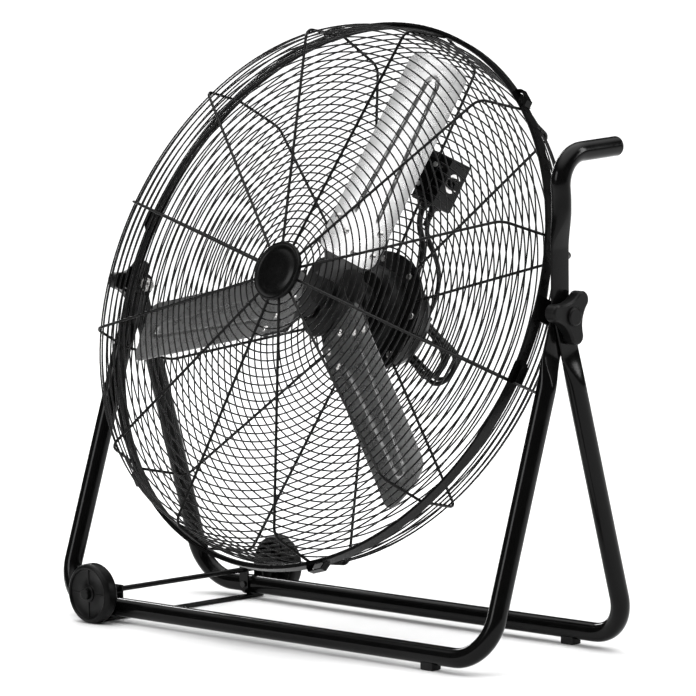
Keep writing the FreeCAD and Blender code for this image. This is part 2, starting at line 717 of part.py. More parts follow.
BZ = -66.5
outer = slab(BOX_AT - 38, BOX_AT + 38, -24, 24, 5, BZ - 38, 38)
cavity = slab(BOX_AT - 35.5, BOX_AT + 35.5, -21.5, 21.5, 3, BZ - 39, 36.5)
switch_hole = cylinder(Vector(BOX_AT + 4, -20, BZ - 19), -Y, 4.05, 10)
cord_hole = cylinder(Vector(BOX_AT - 34, -10, BZ - 19), -X, 5.0, 8)
lead_hole = cylinder(Vector(BOX_AT - 34, 10, BZ - 19), -X, 5.0, 8)
lid_posts = [tube(Vector(BOX_AT + sx * 31, sy * 17.5, BZ - 38), Z, 3.4, 1.4, 37) for sx in (-1, 1) for sy in (-1, 1)]
box_body = bored(fuse_all([outer.cut(cavity)] + lid_posts), switch_hole, cord_hole, lead_hole)
clamp_screws = [(BOX_AT - 15.8, 8), (BOX_AT + 19.8, -8)]
small_holes = [cylinder(Vector(BOX_AT + sx * 31, sy * 17.5, BZ - 40), Z, 1.4, 20) for sx in (-1, 1) for sy in (-1, 1)]
small_holes += [cylinder(Vector(x, y, BZ - 6), Z, 2, 10) for x, y in clamp_screws]
box_body = bored(box_body, *small_holes)
head_piece("switch_box", boxed(box_body))
lid = slab(BOX_AT - 38, BOX_AT + 38, -24, 24, 5, BZ - 40.5, 2.5)
lid_holes = [cylinder(Vector(BOX_AT + sx * 31, sy * 17.5, BZ - 50), Z, 1.4, 20) for sx in (-1, 1) for sy in (-1, 1)]
head_piece("switch_box_lid", boxed(bored(lid, *lid_holes)))
lid_screws = [fuse_all([cylinder(Vector(BOX_AT + sx * 31, sy * 17.5, BZ - 42.5), Z, 3, 2), cylinder(Vector(BOX_AT + sx * 31, sy * 17.5, BZ - 41), Z, 1.4, 14)])
              for sx in (-1, 1) for sy in (-1, 1)]
dial = bored(cylinder(Vector(BOX_AT + 4, -24, BZ - 19), -Y, 14.5, 1.2), switch_hole)
head_piece("speed_dial_plate", boxed(dial))
switch = fuse_all([block(BOX_AT - 10, BOX_AT + 18, -20.5, -4, BZ - 33, BZ - 5), cylinder(Vector(BOX_AT + 4, -21.5, BZ - 19), -Y, 4.0, 2.0)])
switch = bored(switch, cylinder(Vector(BOX_AT + 4, -14, BZ - 19), -Y, 2.6, 20))
head_piece("rotary_switch", boxed(switch))
knob_body = fuse_all([cylinder(Vector(BOX_AT + 4, -25.6, BZ - 19), -Y, 9.5, 3), cylinder(Vector(BOX_AT + 4, -28, BZ - 19), -Y, 8, 9.5),
                      block(BOX_AT + 2.6, BOX_AT + 5.4, -38.6, -30, BZ - 27, BZ - 11), cylinder(Vector(BOX_AT + 4, -15, BZ - 19), -Y, 2.55, 14)])
head_piece("speed_knob", boxed(knob_body))
capacitor = softened(block(BOX_AT - 32, BOX_AT - 13, -14, 14, BZ - 32, BZ - 7), 2, lambda c, e: True)
head_piece("run_capacitor", boxed(capacitor))
clamp_bar = slab(BOX_AT - 24, BOX_AT + 28, -13, 13, 5, -56.4, 2)
clamp_bar = bored(clamp_bar, *[cylinder(Vector(x, y, -75), Z, 2, 40) for x, y in clamp_screws])
box_screws = [fuse_all([cylinder(Vector(x, y, -54.4), Z, 4, 2.2), cylinder(Vector(x, y, -68), Z, 2, 15)]) for x, y in clamp_screws]
head_piece("box_clamp_plate", boxed(clamp_bar))
head_piece("switch_box_screws", boxed(Part.Compound(lid_screws + box_screws)))


def gland(y, bore):
    """Gland at the bottom of the box; the lead leaves its lower face."""
    x = BOX_AT - 38
    neck = cylinder(Vector(x + 4, y, BZ - 19), -X, 5, 4)
    nut = hexagon(Vector(x, y, BZ - 19), -X, 14, 4)
    collar = cylinder(Vector(x, y, BZ - 19), -X, bore, 6)
    return boxed(fuse_all([neck, nut, collar]))


head_piece("lead_gland", gland(10, 6.5))
head_piece("cord_strain_relief", gland(-10, 5.8))

# ---------------------------------------------------------------- motor lead and power cord

CORD = D["cord_radius"]


def cord_path(points):
    """Straight runs joined by tangent arcs, each as wide as the shorter run allows."""
    radii = []
    for before, corner, after in zip(points[:-2], points[1:-1], points[2:]):
        turn = (corner - before).getAngle(after - corner)
        shorter = min((corner - before).Length, (after - corner).Length)
        radii.append(0.45 * shorter / math.tan(turn / 2))
    return rounded_path(points, radii)


def at_box(y):
    radial = math.radians(BOX_TURN)
    x = BOX_AT - 44
    return Vector(x * math.cos(radial) - y * math.sin(radial), x * math.sin(radial) + y * math.cos(radial), BZ - 19)


INWARD = Vector(-math.cos(math.radians(BOX_TURN)), -math.sin(math.radians(BOX_TURN)), 0)
lead_start = at_box(10)
lead = swept(cord_path([lead_start, lead_start + INWARD * 22, Vector(44, 112, -104), Vector(35, 56, -108)]), 4.5)
head_piece("motor_lead", lead)
rear_housing = doc.getObject("motor_rear_housing")
rear_housing.Shape = rear_cup.cut(lead)
rear_housing.Placement = Placement(Vector(0, D["pivot_depth"], D["pivot_height"]), Rotation(X, 90 - TILT))

HANK_TURN = -33.0
HANK_Z = -161.0
HANK_HALF = 33.0
hank_along = Vector(math.cos(math.radians(HANK_TURN)), math.sin(math.radians(HANK_TURN)), 0)
hank_across = Vector(-hank_along.y, hank_along.x, 0)
level = Vector(0, 0, HANK_Z)
hank = slab(-75, 122, -HANK_HALF, HANK_HALF, 32.9, HANK_Z - 15, 30)
hank = softened(hank, 6, lambda c, e: abs(abs(c.z - HANK_Z) - 15) < 0.01)
head_piece("cord_hank", turned(hank, HANK_TURN))

cord_start = at_box(-10)
cord_end = level + hank_along * 12 + hank_across * HANK_HALF
cord_points = [cord_start, cord_start + INWARD * 30, Vector(57, 108, -113), Vector(50, 80, -143), cord_end + hank_across * 28, cord_end]
head_piece("power_cord", swept(cord_path(cord_points), CORD))

tail_start = level - hank_along * 42 - hank_across * HANK_HALF
hang = Vector(0, -math.cos(math.radians(TILT)), -math.sin(math.radians(TILT)))
tail_turn = tail_start - hank_across * 21
tail_end = tail_turn + hang * 21
head_piece("cord_tail", swept(cord_path([tail_start, tail_turn, tail_end]), CORD))


def at_plug(shape):
    """Turn something drawn down the z axis into line with the hanging plug."""
    shape.Placement = Placement(tail_end, Rotation(Z, hang))
    return shape


grip = revolved([(0, 0), (CORD + 1.2, 0), (10, 14), (10, 16), (0, 16)])
plug = fuse_all([grip, slab(-13, 13, -11, 11, 6, 14, 18)])
head_piece("plug_body", at_plug(plug))
blades = [block(x - 0.8, x + 0.8, -3.2, 3.2, 32, 50) for x in (-6.35, 6.35)]
ground = cylinder(Vector(0, 8, 32), Z, 2.4, 20)
head_piece("plug_pins", at_plug(Part.Compound([b.translated(Vector(0, -2, 0)) for b in blades] + [ground])))

band = slab(-4.5, 4.5, -HANK_HALF - 1.2, HANK_HALF + 1.2, 1, HANK_Z - 16.2, 32.4)
band = band.cut(block(-6, 6, -HANK_HALF, HANK_HALF, HANK_Z - 15, HANK_Z + 15))
saddle = tube(Vector(0, 0, HANK_Z + 16.2), Z, 9, 3, BACK - 5 - HANK_Z - 16.2)
head_piece("hank_tie", Part.Compound([turned(band, HANK_TURN), saddle]))

# ---------------------------------------------------------------- check and write

doc.recompute()
os.makedirs("parts", exist_ok=True)
for obj in doc.Objects:
    if "Invalid" in obj.State or "Error" in obj.State:
        raise RuntimeError("%s did not recompute" % obj.Label)
    if obj.TypeId != "Part::Feature":
        continue
    if obj.Shape.isNull() or not obj.Shape.isValid():
        raise RuntimeError("%s has no valid shape" % obj.Label)
    obj.Shape.exportStep("parts/%s.step" % obj.Label)
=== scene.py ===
import bpy
import json
import math
from mathutils import Matrix, Vector


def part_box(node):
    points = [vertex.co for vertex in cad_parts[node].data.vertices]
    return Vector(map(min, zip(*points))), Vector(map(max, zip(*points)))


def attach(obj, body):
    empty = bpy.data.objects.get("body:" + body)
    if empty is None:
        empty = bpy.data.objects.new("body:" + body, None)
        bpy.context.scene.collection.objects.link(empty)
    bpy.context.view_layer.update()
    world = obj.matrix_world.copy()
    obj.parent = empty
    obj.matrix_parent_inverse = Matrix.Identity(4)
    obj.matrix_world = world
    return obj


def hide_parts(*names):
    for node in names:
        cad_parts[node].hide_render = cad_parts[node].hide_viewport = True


# Looks of a floor-standing tilting drum fan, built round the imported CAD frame.
# Frame of the whole object: +X across the fan, -Y is the way the air blows, +Z up, floor at z = 0.
# "Head" coordinates are millimetres about the fan axis: u across, v up the guard, w out of the front.

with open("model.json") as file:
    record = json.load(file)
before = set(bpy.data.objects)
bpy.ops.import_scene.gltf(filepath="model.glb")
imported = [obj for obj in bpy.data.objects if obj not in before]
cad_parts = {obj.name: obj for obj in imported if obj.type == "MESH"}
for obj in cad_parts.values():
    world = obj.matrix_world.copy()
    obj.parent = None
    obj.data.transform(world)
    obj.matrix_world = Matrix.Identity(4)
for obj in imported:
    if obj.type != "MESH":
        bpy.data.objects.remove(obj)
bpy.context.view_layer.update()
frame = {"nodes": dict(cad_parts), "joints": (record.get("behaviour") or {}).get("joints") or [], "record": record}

NODES = frame["nodes"]
RECORD = frame["record"]
JOINTS = {joint["name"]: joint for joint in frame["joints"]}
MM = 0.001
PIVOT = Vector(JOINTS["head_tilt"]["pos_m"])
FAN_AXIS = Vector(JOINTS["blade_spin"]["axis"])
ACROSS = Vector((1, 0, 0))
UP_GUARD = FAN_AXIS.cross(ACROSS)
HEAD = Matrix((ACROSS, UP_GUARD, FAN_AXIS)).transposed().to_4x4()
HEAD.translation = PIVOT


def head(u, v, w):
    """A place on the tilting head, from millimetres about the fan axis to metres in the frame."""
    return HEAD @ Vector((u * MM, v * MM, w * MM))


def frame_mm(x, y, z):
    """A place on the standing frame, in millimetres from the pivot line and the floor."""
    return Vector((x * MM, PIVOT.y + y * MM, z * MM))


def turned_about_axis(point, degrees):
    """A head point in millimetres, turned about the fan axis."""
    a = math.radians(degrees)
    u, v, w = point
    return (u * math.cos(a) - v * math.sin(a), u * math.sin(a) + v * math.cos(a), w)


# ---------------------------------------------------------------- camera

CAMERA_AT = Vector((4.4291, -4.4490, 1.0313))
CAMERA_YAW = 44.679
CAMERA_PITCH = -5.572
CAMERA_ROLL = -0.556
LENS = 223.5


def make_camera():
    """Long lens, set where the whole fan fills the frame."""
    data = bpy.data.cameras.new("camera")
    data.lens = LENS
    data.sensor_width = 36.0
    data.clip_end = 200.0
    camera = bpy.data.objects.new("camera", data)
    bpy.context.scene.collection.objects.link(camera)
    turn = Matrix.Rotation(math.radians(CAMERA_YAW), 4, "Z")
    tip = Matrix.Rotation(math.radians(90 + CAMERA_PITCH), 4, "X")
    roll = Matrix.Rotation(math.radians(CAMERA_ROLL), 4, "Z")
    camera.matrix_world = Matrix.Translation(CAMERA_AT) @ turn @ tip @ roll
    bpy.context.scene.camera = camera


make_camera()

# ---------------------------------------------------------------- materials


def socket(shader, name, value):
    shader.inputs[name].default_value = value


def real_size_noise(nodes, links, scale, detail):
    """Noise in the object's own metres, so that the grain has its real size everywhere."""
    coords = nodes.new("ShaderNodeTexCoord")
    noise = nodes.new("ShaderNodeTexNoise")
    noise.inputs["Scale"].default_value = scale
    noise.inputs["Detail"].default_value = detail
    links.new(coords.outputs["Object"], noise.inputs["Vector"])
    return noise.outputs["Fac"]


def ranged(nodes, links, source, low, high, first=0.3, last=0.7):
    """A value between first and last moved to run from low to high."""
    span = nodes.new("ShaderNodeMapRange")
    span.inputs["From Min"].default_value = first
    span.inputs["From Max"].default_value = last
    span.inputs["To Min"].default_value = low
    span.inputs["To Max"].default_value = high
    links.new(source, span.inputs["Value"])
    return span.outputs["Result"]


def finish_material(name, dark, light, rough, grain, depth, metallic=0.0, shine=0.5, cloud=18.0):
    """Principled finish with clouded colour, varied gloss and a fine bump.

    dark and light are the ends of the colour variation, rough is (low, high),
    grain is the bump's scale per metre and depth its height in millimetres."""
    made = bpy.data.materials.new(name)
    made.use_nodes = True
    nodes, links = made.node_tree.nodes, made.node_tree.links
    shader = nodes["Principled BSDF"]
    socket(shader, "Metallic", metallic)
    socket(shader, "Specular IOR Level", shine)
    clouds = real_size_noise(nodes, links, cloud, 3.0)
    ramp = nodes.new("ShaderNodeValToRGB")
    ramp.color_ramp.elements[0].position = 0.3
    ramp.color_ramp.elements[0].color = (*dark, 1)
    ramp.color_ramp.elements[1].position = 0.7
    ramp.color_ramp.elements[1].color = (*light, 1)
    links.new(clouds, ramp.inputs["Fac"])
    links.new(ramp.outputs["Color"], shader.inputs["Base Color"])
    fine = real_size_noise(nodes, links, grain, 2.0)
    mottle = real_size_noise(nodes, links, cloud * 4, 4.0)
    links.new(ranged(nodes, links, mottle, *rough), shader.inputs["Roughness"])
    bump = nodes.new("ShaderNodeBump")
    bump.inputs["Strength"].default_value = 1.0
    bump.inputs["Distance"].default_value = depth * MM
    links.new(fine, bump.inputs["Height"])
    links.new(bump.outputs["Normal"], shader.inputs["Normal"])
    return made


def grey(value, warm=0.0):
    """Neutral colour, or a slightly warm one."""
    return (value * (1 + warm), value, value * (1 - warm))


# Slot: dark end, light end, roughness, grain per metre, depth in mm, metallic, specular level.
FINISHES = {
    "black_tube": (grey(0.002), grey(0.003), (0.12, 0.2), 420, 0.02, 0, 0.12),
    "black_wire": (grey(0.003), grey(0.005), (0.24, 0.34), 600, 0.015, 0, 0.14),
    "black_plastic": (grey(0.003), grey(0.005), (0.3, 0.42), 1400, 0.03, 0, 0.12),
    "gloss_black_plastic": (grey(0.002), grey(0.004), (0.2, 0.3), 700, 0.01, 0, 0.1),
    "rubber": (grey(0.008), grey(0.014), (0.62, 0.8), 900, 0.05, 0, 0.2),
    "blade_metal": (grey(0.33), grey(0.38), (0.24, 0.32), 500, 0.01, 0.95),
    "zinc": (grey(0.55, 0.02), grey(0.68, 0.01), (0.2, 0.34), 900, 0.01, 1),
    "dark_steel": (grey(0.03), grey(0.05), (0.34, 0.5), 900, 0.01, 0.9),
    "motor_paint": (grey(0.004), grey(0.007), (0.3, 0.42), 500, 0.03, 0, 0.22),
    "copper": ((0.45, 0.16, 0.07), (0.6, 0.24, 0.1), (0.3, 0.45), 900, 0.05, 0.9),
    "lamination": (grey(0.2), grey(0.3), (0.4, 0.55), 900, 0.02, 0.9),
    "cord_jacket": (grey(0.006), grey(0.01), (0.42, 0.55), 1100, 0.03, 0, 0.2),
    "nylon": (grey(0.008), grey(0.012), (0.4, 0.5), 900, 0.02, 0, 0.2),
    "capacitor_white": (grey(0.68), grey(0.74), (0.35, 0.45), 700, 0.01),
    "brass": ((0.6, 0.42, 0.18), (0.7, 0.52, 0.25), (0.22, 0.34), 900, 0.01, 1),
}
MATERIALS = {slot: finish_material(slot, *finish) for slot, finish in FINISHES.items()}

# ---------------------------------------------------------------- mesh helpers


def place(obj, body, slot, *replaced):
    """Give a new piece its finish, the body it moves with and the CAD nodes it stands for."""
    obj.data.materials.append(MATERIALS[slot])
    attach(obj, body)
    if replaced:
        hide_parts(*replaced)
    return obj


def mesh_piece(name, points, faces, sharp=35.0):
    """A smooth-shaded mesh with its creases kept sharp."""
    data = bpy.data.meshes.new(name)
    data.from_pydata([tuple(p) for p in points], [], faces)
    data.validate()
    data.shade_smooth()
    data.set_sharp_from_angle(angle=math.radians(sharp))
    obj = bpy.data.objects.new(name, data)
    bpy.context.scene.collection.objects.link(obj)
    return obj


class Shape:
    """Points and faces gathered for one mesh."""

    def __init__(self):
        self.points = []
        self.faces = []

    def loft(self, rings, closed=False):
        """Skin over rings of equal count, joined end to end (closed) or capped."""
        count = len(rings[0])
        base = len(self.points)
        for ring in rings:
            self.points += ring
        last = len(rings) if closed else len(rings) - 1
        for i in range(last):
            here = base + i * count
            after = base + ((i + 1) % len(rings)) * count
            for k in range(count):
                nxt = (k + 1) % count
                self.faces.append((here + k, here + nxt, after + nxt, after + k))
        if not closed:
            self.faces.append(tuple(range(base + count - 1, base - 1, -1)))
            end = base + (len(rings) - 1) * count
            self.faces.append(tuple(range(end, end + count)))


def arc_points(centre, first, last, radius, count):
    """Points (a, b) round an arc, angles in degrees."""
    out = []
    for i in range(count + 1):
        a = math.radians(first + (last - first) * i / count)
        out.append((centre[0] + radius * math.cos(a), centre[1] + radius * math.sin(a)))
    return out


def lathe(shape, profile, place_at, count):
    """Turn a closed (radius, height) profile round; place_at turns (x, y, height) in mm into the frame."""
    rings = []
    for i in range(count):
        a = 2 * math.pi * i / count
        rings.append([place_at(r * math.cos(a), r * math.sin(a), h) for r, h in profile])
    shape.loft(rings, closed=True)


def rounded_run(corners, radii, step):
    """Centres and tangents along straight runs joined by tangent arcs, in the corners' own units."""
    stations = []
    start = corners[0]
    for corner, after, radius in zip(corners[1:-1], corners[2:], radii):
        into = (corner - start).normalized()
        out = (after - corner).normalized()
        turn = into.angle(out)
        back = radius * math.tan(turn / 2)
        stations += straight(start, corner - into * back, step)
        normal = into.cross(out).normalized()
        centre = corner - into * back + normal.cross(into) * radius
        count = max(4, round(radius * turn / step))
        for i in range(count):
            spin = Matrix.Rotation(turn * i / count, 3, normal)
            stations.append((centre + spin @ (corner - into * back - centre), spin @ into))
        start = corner + out * back
    stations += straight(start, corners[-1], step)
    stations.append((corners[-1].copy(), (corners[-1] - start).normalized()))
    return stations


def straight(start, end, step):
    """Stations at even steps of about the given length, without the last one."""
    along = end - start
    count = max(1, round(along.length / step))
    return [(start + along * (i / count), along.normalized()) for i in range(count)]


def carried_sides(stations, side):
    """Side direction at each station, carried along without twist."""
    sides = []
    before = stations[0][1]
    for centre, tangent in stations:
        side = before.rotation_difference(tangent) @ side
        side = (side - tangent * side.dot(tangent)).normalized()
        sides.append(side)
        before = tangent
    return sides


# ---------------------------------------------------------------- power cord, motor lead, plug

CORD_D = 7.2
LEAD_D = 9.0
BOX_TURN = 75.0
BOX_AT = 219.0
BOX_EXIT = BOX_AT - 44.0
BOX_EXIT_W = -85.5
CORD_SIDE = -10.0
LEAD_SIDE = 10.0
HANK_TURN = -33.0
HANK_W = -161.0


def on_hank(along, across, w):
    """A place on the hank: along its length, across it and out along the fan axis."""
    return head(*turned_about_axis((along, across, w), HANK_TURN))


def at_box(y, inward):
    """A place on the lead's way out of the switch box."""
    return head(*turned_about_axis((BOX_EXIT - inward, y, BOX_EXIT_W), BOX_TURN))


# Each loose turn: far end, width, level, then how far its far end is fanned in level and sideways.
TURNS = [(112, 27.0, -150.0, 5.0, 6.0), (96, 24.5, -157.5, -1.5, -5.0),
         (116, 28.0, -165.0, 1.5, 1.0), (104, 25.0, -172.0, -4.0, 4.0)]
NEAR_ENDS = [-68, -60, -70]
FAR_BEND = (75, 45, 15, -15, -45, -75)
NEAR_BEND = (-105, -135, -165, 165, 135, 105)
BEND_SWELL = 1.035
HALF_WAY = 0.4


def hank_turns():
    """Control points of the loose turns, out along one side, round the far end and back along the other."""
    points = []
    for i, (far_end, width, level, fan, swing) in enumerate(TURNS):
        radius = width * BEND_SWELL
        points.append(on_hank(20, width, level))
        points.append(on_hank(52, width + swing * HALF_WAY, level + fan * HALF_WAY))
        for angle in FAR_BEND:
            a = math.radians(angle)
            x = far_end - width + radius * math.cos(a)
            points.append(on_hank(x, radius * math.sin(a) + swing, level + fan))
        points.append(on_hank(50, -width + swing * HALF_WAY, level + fan * HALF_WAY))
        points.append(on_hank(16, -width, level))
        if i == len(TURNS) - 1:
            break
        points.append(on_hank(-18, -width, level))
        next_width, next_level = TURNS[i + 1][1:3]
        for k, angle in enumerate(NEAR_BEND):
            share = (k + 0.5) / len(NEAR_BEND)
            a = math.radians(angle)
            radius = (width + (next_width - width) * share) * BEND_SWELL
            x = NEAR_ENDS[i] + width + radius * math.cos(a)
            points.append(on_hank(x, radius * math.sin(a), level + (next_level - level) * share))
        points.append(on_hank(-12, next_width, next_level))
    return points


def curve_piece(name, points, diameter):
    """A round cord on one smooth NURBS line."""
    data = bpy.data.curves.new(name, "CURVE")
    data.dimensions = "3D"
    data.resolution_u = 8
    data.bevel_depth = diameter * MM / 2
    data.bevel_resolution = 5
    data.use_fill_caps = True
    spline = data.splines.new("NURBS")
    spline.points.add(len(points) - 1)
    for target, point in zip(spline.points, points):
        target.co = (*point, 1)
    spline.order_u = 3
    spline.use_endpoint_u = True
    obj = bpy.data.objects.new(name, data)
    bpy.context.scene.collection.objects.link(obj)
    return obj


DOWN = Vector((0, 0, -1))
TAIL_HANGS = 21.0


def power_cord_points():
    """Control points from the switch box through the hank to the plug, and where the plug starts."""
    start = [at_box(CORD_SIDE, 0), at_box(CORD_SIDE, 30), head(57, 108, -113), head(50, 80, -143),
             on_hank(11, 58, -154)]
    tail_turn = on_hank(-42, -54, HANK_W)
    end = tail_turn + DOWN * TAIL_HANGS * MM
    leaving = [on_hank(-16, -24, -171), on_hank(-35, -31, -166), tail_turn, end]
    return start + hank_turns() + leaving, end


cord_points, plug_at = power_cord_points()
power_cord = curve_piece("power_cord_hank", cord_points, CORD_D)
place(power_cord, "head", "cord_jacket", "power_cord", "cord_hank", "cord_tail")

lead_points = [at_box(LEAD_SIDE, 0), at_box(LEAD_SIDE, 22), head(44, 112, -104), head(35, 56, -108)]
motor_lead = curve_piece("motor_lead_sleeve", lead_points, LEAD_D)
place(motor_lead, "head", "cord_jacket", "motor_lead")


def tapered_sleeve(name, start, along, length, wide, narrow, ribs):
    """Strain relief: a tapered collar with a groove between each pair of ribs."""
    shape = Shape()
    axis = along.normalized()
    side = axis.orthogonal().normalized()
    other = axis.cross(side)
    profile = [(narrow - 0.9, 0), (wide, 0)]
    pitch = length / ribs
    for i in range(ribs):
        radius = wide + (narrow - wide) * (i + 0.5) / ribs
        for share, sink in ((0.12, 0), (0.6, 0), (0.7, 0.7), (0.95, 0.7)):
            profile.append((radius - sink, (i + share) * pitch))
    profile += [(narrow, length), (narrow - 0.9, length)]
    lathe(shape, profile, lambda x, y, h: start + side * x * MM + other * y * MM + axis * h * MM, 24)
    return mesh_piece(name, shape.points, shape.faces, 50)


relief_way = at_box(CORD_SIDE, 30) - at_box(CORD_SIDE, 0)
relief = tapered_sleeve("cord_relief_sleeve", at_box(CORD_SIDE, -2), relief_way, 27, 5.6, 4.4, 7)
place(relief, "head", "rubber")


# Each section of the plug: distance down, half width, half thickness, how square it is.
PLUG_SECTIONS = [
    (0, 4.6, 4.6, 2), (3, 5.0, 5.0, 2), (8, 6.2, 6.0, 2.3), (12, 9.0, 7.6, 2.8), (15, 11.8, 9.6, 3.4),
    (18, 12.6, 10.4, 4), (20.5, 12.4, 10.0, 4), (23, 12.8, 10.6, 4), (25.5, 12.5, 10.1, 4),
    (28, 12.9, 10.8, 4.5), (31, 12.8, 10.7, 4.5), (32, 12.1, 10.0, 4.5),
]


def plug_piece():
    """Moulded plug: a waisted grip that flares into a flat-sided body with finger ridges."""
    shape = Shape()
    other = DOWN.cross(ACROSS)
    rings = []
    for down, half_wide, half_thick, square in PLUG_SECTIONS:
        ring = []
        for k in range(40):
            a = 2 * math.pi * k / 40
            c, s = math.cos(a), math.sin(a)
            x = math.copysign(abs(c) ** (2 / square), c) * half_wide
            y = math.copysign(abs(s) ** (2 / square), s) * half_thick
            ring.append(plug_at + ACROSS * x * MM + other * y * MM + DOWN * down * MM)
        rings.append(ring)
    shape.loft(rings)
    return mesh_piece("moulded_plug", shape.points, shape.faces, 60)


plug = place(plug_piece(), "head", "black_plastic", "plug_body")

# ---------------------------------------------------------------- bent and pressed frame tubes

TUBE_R = 14.0
LEG_X = 436.0
PIVOT_Z = PIVOT.z / MM
BAR_Z = 22.0
DROP = PIVOT_Z - BAR_Z
CORNER_R = 62.0
FLAT_THICK = 4.0
FLAT_WIDE = 36.0
FRONT_RUN = -157.0
REAR_RUN = 136.0
FRONT_FLAT_X = 432.2
REAR_FLAT_X = 436.4
FLAT_END = 54.0
POST_FLAT_END = 92.0
PRESS_RUN = 56.0
POST_STRAIGHT = 166.0
POST_LEAN = 7.0
POST_TOP = 224.0
HANDLE_REACH = 112.0
HANDLE_RISE = 7.0
LEG_TO_POST_R = 40.0
POST_LEAN_R = 120.0
POST_BEND_R = 46.0
TUBE_STEP = 5.0
STRIP_END = FLAT_WIDE / 2


def eased(share):
    """Smooth step from 0 to 1."""
    share = min(max(share, 0.0), 1.0)
    return share * share * (3 - 2 * share)


def tube_section(flat, half_wide):
    """(thin, wide) offsets of the tube wall, from round (flat 0) to a pressed strip (flat 1)."""
    radius = TUBE_R + (FLAT_THICK / 2 - TUBE_R) * flat
    wide = TUBE_R + (STRIP_END - TUBE_R) * flat
    wide = min(wide, half_wide)
    radius = min(radius, max(wide, 0.4))
    shift = max(wide - radius, 0)
    ring = []
    for k in range(36):
        a = 2 * math.pi * (k + 0.5) / 36
        ring.append((radius * math.cos(a), radius * math.sin(a) + math.copysign(shift, math.sin(a))))
    return ring


def end_rounding(distance):
    """Half width allowed near the round end of a pressed strip."""
    if distance >= STRIP_END:
        return math.inf
    return math.sqrt(max(STRIP_END ** 2 - (STRIP_END - distance) ** 2, 0.0))


def finer_end(start, along):
    """Extra stations where a strip's end is round, closest at the tip."""
    return [(start + along * STRIP_END * (1 - math.cos(math.radians(a))), along) for a in range(4, 90, 8)]


def past_end(stations, end):
    """The stations that lie beyond the rounded end of a strip."""
    return [station for station in stations if (station[0] - end).length > STRIP_END]


def pressed_tube(shape, stations, wide_first, pivots, flat_x, round_ends):
    """Sweep the tube wall along the stations.

    pivots are (place, flat length before, flat length after), round_ends the two end flags."""
    sides = carried_sides(stations, wide_first)
    lengths = [0.0]
    for before, after in zip(stations, stations[1:]):
        lengths.append(lengths[-1] + (after[0] - before[0]).length)
    spots = []
    for place_at, before, after in pivots:
        nearest = min(range(len(stations)), key=lambda i: (stations[i][0] - place_at).length)
        spots.append((lengths[nearest], before, after))
    rings = []
    for (centre, tangent), wide_dir, s in zip(stations, sides, lengths):
        flat = 0.0
        for at, before, after in spots:
            kept = before if s < at else after
            flat = max(flat, 1 - eased((abs(s - at) - kept) / PRESS_RUN))
        limit = math.inf
        if round_ends[0]:
            limit = end_rounding(s)
        if round_ends[1]:
            limit = min(limit, end_rounding(lengths[-1] - s))
        side = math.copysign(1, centre.x)
        moved = centre + Vector((side * (flat_x - LEG_X) * flat, 0, 0))
        thin_dir = tangent.cross(wide_dir)
        ring = []
        for thin, wide in tube_section(flat, limit):
            ring.append(frame_mm(*(moved + thin_dir * thin + wide_dir * wide)))
        rings.append(ring)
    shape.loft(rings)


def u_corners(run):
    """Foot corners of a U-tube and the direction down its legs."""
    down = Vector((0, run, -DROP)).normalized()
    length = math.hypot(run, DROP)
    top = Vector((0, 0, PIVOT_Z))
    return [top + down * length + Vector((side * LEG_X, 0, 0)) for side in (-1, 1)], down


def pivot_at(side):
    """Where the middle of a leg crosses the pivot line."""
    return Vector((side * LEG_X, 0, PIVOT_Z))


def front_tube():
    """Front U, carried on up the right-hand post and back into the handle."""
    shape = Shape()
    feet, down = u_corners(FRONT_RUN)
    start = pivot_at(-1) - down * STRIP_END
    post = [pivot_at(1), pivot_at(1) + Vector((0, 0, POST_STRAIGHT)),
            pivot_at(1) + Vector((0, -POST_LEAN, POST_TOP)),
            pivot_at(1) + Vector((0, HANDLE_REACH, POST_TOP + HANDLE_RISE))]
    radii = [CORNER_R, CORNER_R, LEG_TO_POST_R, POST_LEAN_R, POST_BEND_R]
    run = rounded_run([start] + feet + post, radii, TUBE_STEP)
    stations = [run[0]] + finer_end(start, down) + past_end(run[1:], start)
    pivots = [(pivot_at(-1), FLAT_END, FLAT_END), (pivot_at(1), FLAT_END, POST_FLAT_END)]
    pressed_tube(shape, stations, down.cross(ACROSS), pivots, FRONT_FLAT_X, (True, False))
    return mesh_piece("front_tube_bent", shape.points, shape.faces, 50)


def rear_tube():
    """Rear U, pressed flat at both of its ends."""
    shape = Shape()
    feet, down = u_corners(REAR_RUN)
    start = pivot_at(-1) - down * STRIP_END
    end = pivot_at(1) - down * STRIP_END
    run = rounded_run([start] + feet + [end], [CORNER_R, CORNER_R], TUBE_STEP)
    inner = past_end(past_end(run[1:-1], start), end)
    last = [(place_at, -along) for place_at, along in reversed(finer_end(end, down))]
    stations = [run[0]] + finer_end(start, down) + inner + last + [run[-1]]
    pivots = [(pivot_at(side), FLAT_END, FLAT_END) for side in (-1, 1)]
    pressed_tube(shape, stations, down.cross(ACROSS), pivots, REAR_FLAT_X, (True, True))
    return mesh_piece("rear_tube_bent", shape.points, shape.faces, 50)


place(front_tube(), "frame", "black_tube", "front_frame_tube")
place(rear_tube(), "frame", "black_tube", "rear_frame_tube")

# ---------------------------------------------------------------- wire guards

SPOKES = 12
FIRST_SPOKE = 15.0
RIM_R = 412.0
RIM_WIRE = 2.75
RING_WIRE = 1.2
SPOKE_WIRE = 2.1
RING_MID = 27.0
RING_PITCH = 11.9
WELD_SINK = 0.25
LAST_RING = 7.0


